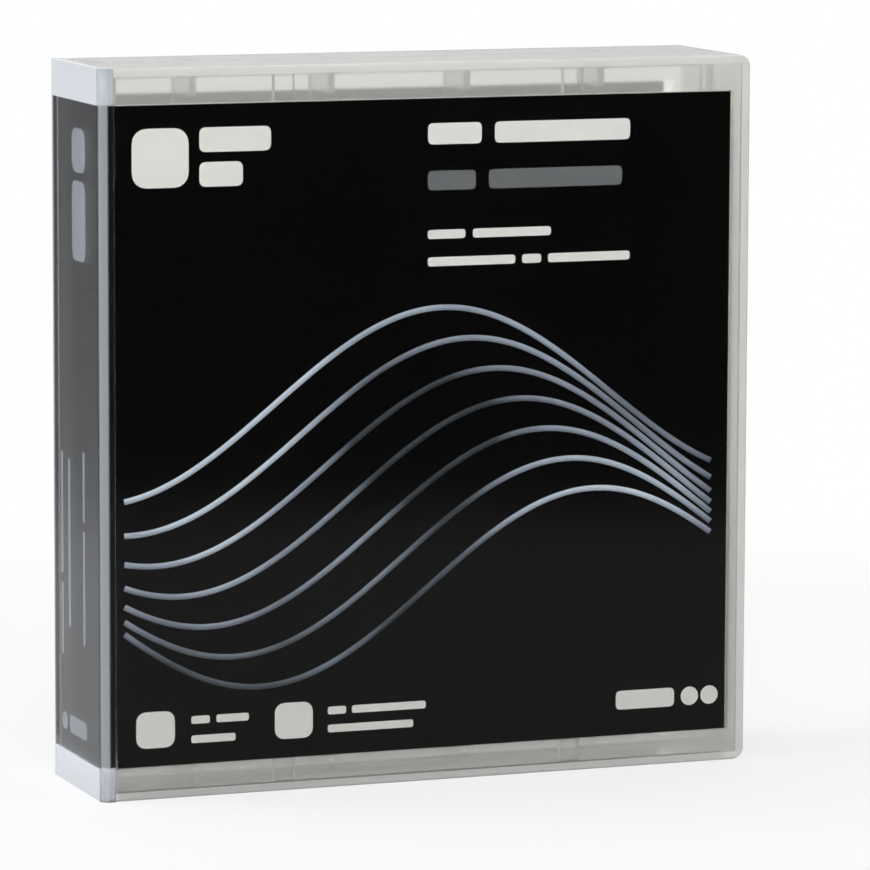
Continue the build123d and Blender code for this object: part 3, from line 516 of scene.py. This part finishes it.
print_bars("front_white_bars", (
    (-51.0, 99.6, 9.6, 9.6, 2.4), (-39.6, 105.2, 12.2, 4.0, 1.0), (-39.6, 99.6, 7.4, 4.0, 1.0),
    (-0.3, 105.4, 9.4, 3.5, 0.8), (11.4, 105.4, 24.0, 3.5, 0.8),
    (-0.3, 89.9, 6.6, 1.5, 0.5), (7.6, 89.9, 13.8, 1.5, 0.5),
    (-0.3, 85.4, 15.4, 1.5, 0.5), (16.3, 85.4, 3.4, 1.5, 0.5), (20.9, 85.4, 14.6, 1.5, 0.5),
    (-50.6, 8.3, 6.6, 6.0, 1.6), (-41.2, 11.9, 3.2, 1.3, 0.4), (-36.9, 11.9, 5.6, 1.3, 0.4),
    (-41.2, 8.7, 7.6, 1.3, 0.4),
    (-26.8, 8.4, 6.6, 6.0, 1.6), (-17.6, 12.0, 3.2, 1.3, 0.4), (-13.4, 12.0, 13.0, 1.3, 0.4),
    (-17.6, 9.0, 15.0, 1.3, 0.4),
    (33.6, 9.6, 10.6, 3.2, 0.8), (45.4, 9.6, 3.2, 3.2, 1.6), (49.0, 9.6, 3.2, 3.2, 1.6),
), on_front, "#ffffff", "cover")
print_bars("front_grey_bars", (
    (-0.3, 97.9, 8.4, 3.2, 0.8), (10.4, 97.9, 23.6, 3.2, 0.8),
), on_front, "#7c7f84", "cover")
print_bars("spine_grey_bars", (
    (-4.4, 87.0, 7.2, 13.0, 1.6), (-4.4, 101.4, 7.2, 7.2, 2.0),
    (-3.4, 24.0, 1.1, 19.0, 0.4), (-3.4, 44.4, 1.1, 11.6, 0.4),
    (8.6, 21.0, 1.1, 12.0, 0.4), (8.6, 34.4, 1.1, 20.4, 0.4),
    (4.6, 26.0, 1.1, 28.0, 0.4),
    (-4.0, 8.4, 9.4, 3.0, 0.8), (6.6, 8.4, 3.0, 3.0, 1.5),
), on_spine, "#e4e5e7", "spine")


# Cartridge shells and door: black polycarbonate, moulded against a finely sparked steel tool.
# The spark texture breaks the light up, and a little dust lies in it.
spark_grain_mm = 0.28
dust_patch_mm = 14.0
textured_black_polycarbonate, tree = new_material("textured_black_polycarbonate")
place = add_node(tree, "ShaderNodeTexCoord")
sparks = add_node(
    tree, "ShaderNodeTexNoise",
    {"Scale": 1 / (spark_grain_mm * MM), "Detail": 3.0, "Vector": place.outputs["Object"]},
)
dust = add_node(
    tree, "ShaderNodeTexNoise",
    {"Scale": 1 / (dust_patch_mm * MM), "Detail": 3.0, "Vector": place.outputs["Object"]},
)
relief = add_node(
    tree, "ShaderNodeBump",
    {"Strength": 0.5, "Distance": 0.03 * MM, "Height": sparks.outputs["Fac"]},
)
tone = add_node(
    tree, "ShaderNodeMix",
    {0: dust.outputs["Fac"], 6: linear("#161618"), 7: linear("#1f1f22")}, data_type="RGBA",
)
shader = add_node(
    tree, "ShaderNodeBsdfPrincipled",
    {
        "Roughness": 0.5, "IOR": 1.58,
        "Base Color": tone.outputs[2], "Normal": relief.outputs["Normal"],
    },
)
add_node(tree, "ShaderNodeOutputMaterial", {"Surface": shader.outputs[0]})
paint(textured_black_polycarbonate, "upper_shell", "lower_shell", "door")


# Shell screws: small steel screws with turned heads, blackened in an oxide bath.
# The bath leaves them dark with a faint brown cast and fine turning marks.
turning_mark_mm = 0.12
blackened_steel, tree = new_material("blackened_steel")
place = add_node(tree, "ShaderNodeTexCoord")
marks = add_node(
    tree, "ShaderNodeTexNoise",
    {"Scale": 1 / (turning_mark_mm * MM), "Detail": 2.0, "Vector": place.outputs["Object"]},
)
tone = add_node(
    tree, "ShaderNodeMix",
    {0: marks.outputs["Fac"], 6: linear("#2b2927"), 7: linear("#4a4846")}, data_type="RGBA",
)
relief = add_node(
    tree, "ShaderNodeBump",
    {"Strength": 0.3, "Distance": 0.01 * MM, "Height": marks.outputs["Fac"]},
)
shader = add_node(
    tree, "ShaderNodeBsdfPrincipled",
    {
        "Metallic": 1.0, "Roughness": 0.42,
        "Base Color": tone.outputs[2], "Normal": relief.outputs["Normal"],
    },
)
add_node(tree, "ShaderNodeOutputMaterial", {"Surface": shader.outputs[0]})
paint(blackened_steel, "shell_screws")


# Edge label: a bare matt paper label, pressed into its shallow recess on the upper edge.
# The paper's fibres show as a soft mottle, and it has no gloss.
paper_fibre_mm = 0.5
matt_label_paper, tree = new_material("matt_label_paper")
place = add_node(tree, "ShaderNodeTexCoord")
fibres = add_node(
    tree, "ShaderNodeTexNoise",
    {"Scale": 1 / (paper_fibre_mm * MM), "Detail": 5.0, "Vector": place.outputs["Object"]},
)
tone = add_node(
    tree, "ShaderNodeMix",
    {0: fibres.outputs["Fac"], 6: linear("#dedcd5"), 7: linear("#efeee9")}, data_type="RGBA",
)
relief = add_node(
    tree, "ShaderNodeBump",
    {"Strength": 0.3, "Distance": 0.01 * MM, "Height": fibres.outputs["Fac"]},
)
shader = add_node(
    tree, "ShaderNodeBsdfPrincipled",
    {"Roughness": 0.85, "Base Color": tone.outputs[2], "Normal": relief.outputs["Normal"]},
)
add_node(tree, "ShaderNodeOutputMaterial", {"Surface": shader.outputs[0]})
paint(matt_label_paper, "edge_label")


# Write-protect switch: a small slide moulded from red ABS, held between the two shells.
# It is glossy from the mould, and fingers have dulled it a little in places.
switch_smear_mm = 1.4
red_abs, tree = new_material("red_abs")
place = add_node(tree, "ShaderNodeTexCoord")
smear = add_node(
    tree, "ShaderNodeTexNoise",
    {"Scale": 1 / (switch_smear_mm * MM), "Detail": 2.0, "Vector": place.outputs["Object"]},
)
dulling = add_node(
    tree, "ShaderNodeMapRange",
    {"To Min": 0.28, "To Max": 0.44, "Value": smear.outputs["Fac"]},
)
shader = add_node(
    tree, "ShaderNodeBsdfPrincipled",
    {"Base Color": linear("#9a1c15"), "IOR": 1.54, "Roughness": dulling.outputs["Result"]},
)
add_node(tree, "ShaderNodeOutputMaterial", {"Surface": shader.outputs[0]})
paint(red_abs, "write_protect_switch")


# Memory chip: a thin board of woven glass cloth in green resin, standing in one corner.
# The cloth's threads show as a fine square weave under the resin.
thread_pitch_mm = 0.6
wave_period = math.pi / 10    # the wave texture's own period at a scale of 1
glass_cloth_board, tree = new_material("glass_cloth_board")
place = add_node(tree, "ShaderNodeTexCoord")
threads = [
    add_node(
        tree, "ShaderNodeTexWave",
        {"Scale": wave_period / (thread_pitch_mm * MM), "Vector": place.outputs["Object"]},
        bands_direction=direction,
    )
    for direction in ("X", "Z")
]
weave = add_node(
    tree, "ShaderNodeMath", {0: threads[0].outputs["Fac"], 1: threads[1].outputs["Fac"]},
    operation="MULTIPLY",
)
tone = add_node(
    tree, "ShaderNodeMix",
    {0: weave.outputs[0], 6: linear("#16442a"), 7: linear("#2c6a41")}, data_type="RGBA",
)
shader = add_node(
    tree, "ShaderNodeBsdfPrincipled",
    {"Roughness": 0.3, "IOR": 1.55, "Base Color": tone.outputs[2]},
)
add_node(tree, "ShaderNodeOutputMaterial", {"Surface": shader.outputs[0]})
paint(glass_cloth_board, "memory_chip")


# Reel: hub and flanges moulded from grey glass-filled polycarbonate and welded together.
# Short fibres near the surface give a fine grain, drawn coarser than life so that it shows.
glass_fibre_mm = 0.4
grey_reel_polycarbonate, tree = new_material("grey_reel_polycarbonate")
place = add_node(tree, "ShaderNodeTexCoord")
fibres = add_node(
    tree, "ShaderNodeTexNoise",
    {"Scale": 1 / (glass_fibre_mm * MM), "Detail": 4.0, "Vector": place.outputs["Object"]},
)
tone = add_node(
    tree, "ShaderNodeMix",
    {0: fibres.outputs["Fac"], 6: linear("#858a8e"), 7: linear("#9a9ea1")}, data_type="RGBA",
)
relief = add_node(
    tree, "ShaderNodeBump",
    {"Strength": 0.25, "Distance": 0.015 * MM, "Height": fibres.outputs["Fac"]},
)
shader = add_node(
    tree, "ShaderNodeBsdfPrincipled",
    {
        "Roughness": 0.42, "IOR": 1.58,
        "Base Color": tone.outputs[2], "Normal": relief.outputs["Normal"],
    },
)
add_node(tree, "ShaderNodeOutputMaterial", {"Surface": shader.outputs[0]})
paint(grey_reel_polycarbonate, "reel_hub", "reel_upper_flange")


# Wound tape: polyester film with a metal-powder coating, thousands of turns pressed flat.
# The turns are far too fine to show, so they are drawn as rings 0.45 mm apart.
turn_pitch_mm = 0.45
reel_middle_z = (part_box("tape_pack")[0][2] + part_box("tape_pack")[1][2]) / 2
wound_tape, tree = new_material("wound_tape")
place = add_node(tree, "ShaderNodeTexCoord")
centred = add_node(
    tree, "ShaderNodeMapping",
    {"Location": (0.0, 0.0, -reel_middle_z), "Vector": place.outputs["Object"]},
)
turns = add_node(
    tree, "ShaderNodeTexWave",
    {
        "Scale": wave_period / (turn_pitch_mm * MM), "Distortion": 0.6, "Detail": 2.0,
        "Vector": centred.outputs[0],
    },
    wave_type="RINGS", rings_direction="Y",
)
tone = add_node(
    tree, "ShaderNodeMix",
    {0: turns.outputs["Fac"], 6: linear("#241f1c"), 7: linear("#3b342f")}, data_type="RGBA",
)
relief = add_node(
    tree, "ShaderNodeBump",
    {"Strength": 0.4, "Distance": 0.02 * MM, "Height": turns.outputs["Fac"]},
)
shader = add_node(
    tree, "ShaderNodeBsdfPrincipled",
    {
        "Roughness": 0.25, "IOR": 1.6,
        "Base Color": tone.outputs[2], "Normal": relief.outputs["Normal"],
    },
)
add_node(tree, "ShaderNodeOutputMaterial", {"Surface": shader.outputs[0]})
paint(wound_tape, "tape_pack", "leader_tape")


# Drive washer and leader pin: steel turned on a lathe and nickel plated.
# The tool leaves fine rings round each axis, which draw the highlights out.
tool_mark_mm = 0.25
pin_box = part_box("leader_pin")
pin_middle_x = (pin_box[0][0] + pin_box[1][0]) / 2
pin_middle_z = (pin_box[0][2] + pin_box[1][2]) / 2
for name, centre, nodes in (
    ("turned_nickelled_steel", (0.0, 0.0, -reel_middle_z), ("drive_washer",)),
    ("turned_nickelled_pin", (-pin_middle_x, 0.0, -pin_middle_z), ("leader_pin",)),
):
    material, tree = new_material(name)
    place = add_node(tree, "ShaderNodeTexCoord")
    centred = add_node(
        tree, "ShaderNodeMapping", {"Location": centre, "Vector": place.outputs["Object"]}
    )
    rings = add_node(
        tree, "ShaderNodeTexWave",
        {
            "Scale": wave_period / (tool_mark_mm * MM), "Distortion": 0.4,
            "Vector": centred.outputs[0],
        },
        wave_type="RINGS", rings_direction="Y",
    )
    relief = add_node(
        tree, "ShaderNodeBump",
        {"Strength": 0.25, "Distance": 0.01 * MM, "Height": rings.outputs["Fac"]},
    )
    shader = add_node(
        tree, "ShaderNodeBsdfPrincipled",
        {
            "Base Color": linear("#c9c8c4"), "Metallic": 1.0, "Roughness": 0.24,
            "Normal": relief.outputs["Normal"],
        },
    )
    add_node(tree, "ShaderNodeOutputMaterial", {"Surface": shader.outputs[0]})
    paint(material, *nodes)


# Brake button, release plate and pin clip: natural acetal, a slippery milk-white plastic.
# It is moulded smooth, with faint flow clouds and a waxy gloss.
flow_cloud_mm = 5.0
natural_acetal, tree = new_material("natural_acetal")
place = add_node(tree, "ShaderNodeTexCoord")
clouds = add_node(
    tree, "ShaderNodeTexNoise",
    {"Scale": 1 / (flow_cloud_mm * MM), "Detail": 3.0, "Vector": place.outputs["Object"]},
)
tone = add_node(
    tree, "ShaderNodeMix",
    {0: clouds.outputs["Fac"], 6: linear("#d6d2c6"), 7: linear("#e6e3da")}, data_type="RGBA",
)
shader = add_node(
    tree, "ShaderNodeBsdfPrincipled",
    {"Roughness": 0.33, "IOR": 1.48, "Base Color": tone.outputs[2]},
)
add_node(tree, "ShaderNodeOutputMaterial", {"Surface": shader.outputs[0]})
paint(natural_acetal, "brake_button", "release_plate", "leader_clip")


# Springs: hard drawn carbon-steel wire and strip, oiled and left bright.
# The die leaves fine lengthwise scratches, seen as an uneven gloss.
die_scratch_mm = 0.1
drawn_spring_steel, tree = new_material("drawn_spring_steel")
place = add_node(tree, "ShaderNodeTexCoord")
scratches = add_node(
    tree, "ShaderNodeTexNoise",
    {"Scale": 1 / (die_scratch_mm * MM), "Detail": 2.0, "Vector": place.outputs["Object"]},
)
gloss = add_node(
    tree, "ShaderNodeMapRange",
    {"To Min": 0.2, "To Max": 0.42, "Value": scratches.outputs["Fac"]},
)
shader = add_node(
    tree, "ShaderNodeBsdfPrincipled",
    {"Base Color": linear("#9b9b9a"), "Metallic": 1.0, "Roughness": gloss.outputs["Result"]},
)
add_node(tree, "ShaderNodeOutputMaterial", {"Surface": shader.outputs[0]})
paint(drawn_spring_steel, "brake_spring", "door_spring", "pin_springs")


# Studio floor: pale matt paper that fades to white away from the case, and keeps its soft shadow.
# In reflections it is darker in front of the case, where the real studio's room is unlit.
floor_reach = 0.32
floor_clear_radius = 0.17
floor_white_radius = 0.95 * floor_reach
floor_white_share = 0.62
floor_darker_from = 0.02
floor_darkest_from = -0.04
floor_tone = linear("#e7e7e8")
floor_tone_mirrored_behind = linear("#aeaeae")
floor_tone_mirrored_ahead = linear("#595959")
paper_floor, tree = new_material("paper_floor")
place = add_node(tree, "ShaderNodeTexCoord")
distance = add_node(
    tree, "ShaderNodeVectorMath", {0: place.outputs["Object"]}, operation="LENGTH"
)
fade = add_node(
    tree, "ShaderNodeMapRange",
    {
        "From Min": floor_clear_radius, "From Max": floor_white_radius,
        "To Min": floor_white_share, "Value": distance.outputs["Value"],
    },
    interpolation_type="SMOOTHSTEP",
)
path = add_node(tree, "ShaderNodeLightPath")
share = add_node(
    tree, "ShaderNodeMath", {0: path.outputs["Is Camera Ray"], 1: fade.outputs["Result"]},
    operation="MULTIPLY",
)
parts = add_node(tree, "ShaderNodeSeparateXYZ", {0: place.outputs["Object"]})
in_front = add_node(
    tree, "ShaderNodeMapRange",
    {
        "From Min": floor_darker_from, "From Max": floor_darkest_from,
        "Value": parts.outputs["Y"],
    },
)
mirrored_tone = add_node(
    tree, "ShaderNodeMix",
    {
        0: in_front.outputs["Result"],
        6: floor_tone_mirrored_behind, 7: floor_tone_mirrored_ahead,
    },
    data_type="RGBA",
)
tone = add_node(
    tree, "ShaderNodeMix",
    {0: path.outputs["Is Glossy Ray"], 6: floor_tone, 7: mirrored_tone.outputs[2]},
    data_type="RGBA",
)
paper = add_node(tree, "ShaderNodeBsdfDiffuse", {"Color": tone.outputs[2]})
white = add_node(tree, "ShaderNodeEmission", {"Color": linear("#ffffff"), "Strength": 1.0})
shader = add_node(
    tree, "ShaderNodeMixShader", {0: share.outputs[0], 1: paper.outputs[0], 2: white.outputs[0]}
)
add_node(tree, "ShaderNodeOutputMaterial", {"Surface": shader.outputs[0]})
floor_mesh = bpy.data.meshes.new("floor")
shape = bmesh.new()
bmesh.ops.create_circle(shape, cap_ends=True, radius=floor_reach, segments=96)
shape.to_mesh(floor_mesh)
shape.free()
floor_mesh.materials.append(paper_floor)
floor = bpy.data.objects.new("floor", floor_mesh)
bpy.context.scene.collection.objects.link(floor)


# Surround: plain white to the eye and through the clear walls, and a softer white as a light.
# Reflections see a white backdrop behind, and a dark room in front with a pale ceiling and table.
soft_level = 0.82
wall_loss = 0.95    # makes up for the light that the clear wall keeps from the card behind it
room_level = 0.1
ceiling_glow = 0.8
table_glow = 0.45
darkest_front = 0.005
# Where each begins and is full, as a share of the way straight back, or straight up.
backdrop_from, backdrop_full = -0.3, 0.6
ceiling_from, ceiling_full = -0.02, 0.14
table_from, table_full = -0.06, -0.3
no_bounce = 0.5    # a depth counts whole bounces, so half of one parts none from some
world = bpy.data.worlds.new("surround")
world.use_nodes = True
bpy.context.scene.world = world
tree = world.node_tree
tree.nodes.clear()
path = add_node(tree, "ShaderNodeLightPath")
direction = add_node(tree, "ShaderNodeTexCoord")
parts = add_node(tree, "ShaderNodeSeparateXYZ", {0: direction.outputs["Generated"]})
behind = add_node(
    tree, "ShaderNodeMapRange",
    {
        "From Min": backdrop_from, "From Max": backdrop_full,
        "To Min": darkest_front, "To Max": 1.0, "Value": parts.outputs["Y"],
    },
    interpolation_type="SMOOTHSTEP",
)
above = add_node(
    tree, "ShaderNodeMapRange",
    {
        "From Min": ceiling_from, "From Max": ceiling_full,
        "To Max": ceiling_glow, "Value": parts.outputs["Z"],
    },
    interpolation_type="SMOOTHSTEP",
)
below = add_node(
    tree, "ShaderNodeMapRange",
    {
        "From Min": table_from, "From Max": table_full,
        "To Max": table_glow, "Value": parts.outputs["Z"],
    },
)
lighter = add_node(
    tree, "ShaderNodeMath", {0: above.outputs["Result"], 1: below.outputs["Result"]},
    operation="MAXIMUM",
)
banded = add_node(
    tree, "ShaderNodeMath", {0: room_level, 1: lighter.outputs[0]}, operation="ADD"
)
mirrored = add_node(
    tree, "ShaderNodeMath", {0: behind.outputs["Result"], 1: banded.outputs[0]},
    operation="MULTIPLY",
)
# The eye, and a ray that has only passed through clear walls, see plain white.
unmirrored = add_node(
    tree, "ShaderNodeMath", {0: path.outputs["Glossy Depth"], 1: no_bounce},
    operation="LESS_THAN",
)
straight = add_node(
    tree, "ShaderNodeMath", {0: path.outputs["Is Transmission Ray"], 1: unmirrored.outputs[0]},
    operation="MULTIPLY",
)
backdrop = add_node(
    tree, "ShaderNodeMath", {0: path.outputs["Is Camera Ray"], 1: straight.outputs[0]},
    operation="MAXIMUM",
)
direct = add_node(
    tree, "ShaderNodeMath", {0: backdrop.outputs[0], 1: mirrored.outputs[0]}, operation="MAXIMUM"
)
# A ray that has left a matt surface meets the soft white, which lights that surface.
soft = add_node(
    tree, "ShaderNodeMath", {0: path.outputs["Is Transmission Ray"], 1: wall_loss, 2: soft_level},
    operation="MULTIPLY_ADD",
)
scattered = add_node(
    tree, "ShaderNodeMath", {0: path.outputs["Diffuse Depth"], 1: no_bounce},
    operation="GREATER_THAN",
)
level = add_node(
    tree, "ShaderNodeMix",
    {0: scattered.outputs[0], 2: direct.outputs[0], 3: soft.outputs[0]},
)
surround = add_node(
    tree, "ShaderNodeBackground", {"Color": linear("#ffffff"), "Strength": level.outputs[0]}
)
add_node(tree, "ShaderNodeOutputWorld", {"Surface": surround.outputs[0]})


# Lamps: two square soft boxes, one high on the left and one in front above the camera.
# They are weaker than the surround, and put more light on the case's top and left.
case_middle = Vector((0.0, 0.0, 0.06))
for name, lamp_place, width, power in (
    ("high_left_lamp", (-0.7, 0.15, 0.95), 0.7, 5.0),
    ("front_lamp", (-0.35, -1.0, 0.9), 0.8, 4.0),
):
    lamp_data = bpy.data.lights.new(name, "AREA")
    lamp_data.size = width
    lamp_data.energy = power
    lamp = bpy.data.objects.new(name, lamp_data)
    lamp.location = lamp_place
    lamp.rotation_mode = "QUATERNION"
    lamp.rotation_quaternion = (case_middle - Vector(lamp_place)).to_track_quat("-Z", "Y")
    bpy.context.scene.collection.objects.link(lamp)

bpy.context.scene.view_settings.view_transform = "Standard"


# Camera: the photograph's own place and lens, found from the case's seven visible corners.
# It stands about a metre off, a little to the left and above, and looks slightly down.
lens_mm = 235.05
sensor_width_mm = 36.0
nearest_view = 0.05
yaw = math.radians(20.7186)
pitch = math.radians(7.6439)
roll = math.radians(0.1875)
camera_place = Vector((-0.32642, -0.87849, 0.18177))
ahead = Vector((
    math.sin(yaw) * math.cos(pitch), math.cos(yaw) * math.cos(pitch), -math.sin(pitch)
))
level_right = Vector((math.cos(yaw), -math.sin(yaw), 0.0))
level_up = level_right.cross(ahead)
right = math.cos(roll) * level_right + math.sin(roll) * level_up
up = math.cos(roll) * level_up - math.sin(roll) * level_right
camera_data = bpy.data.cameras.new("camera")
camera_data.lens = lens_mm
camera_data.sensor_width = sensor_width_mm
camera_data.clip_start = nearest_view
camera = bpy.data.objects.new("camera", camera_data)
turned = Matrix((right, up, -ahead)).transposed().to_4x4()
camera.matrix_world = Matrix.Translation(camera_place) @ turned
bpy.context.scene.collection.objects.link(camera)
bpy.context.scene.camera = camera
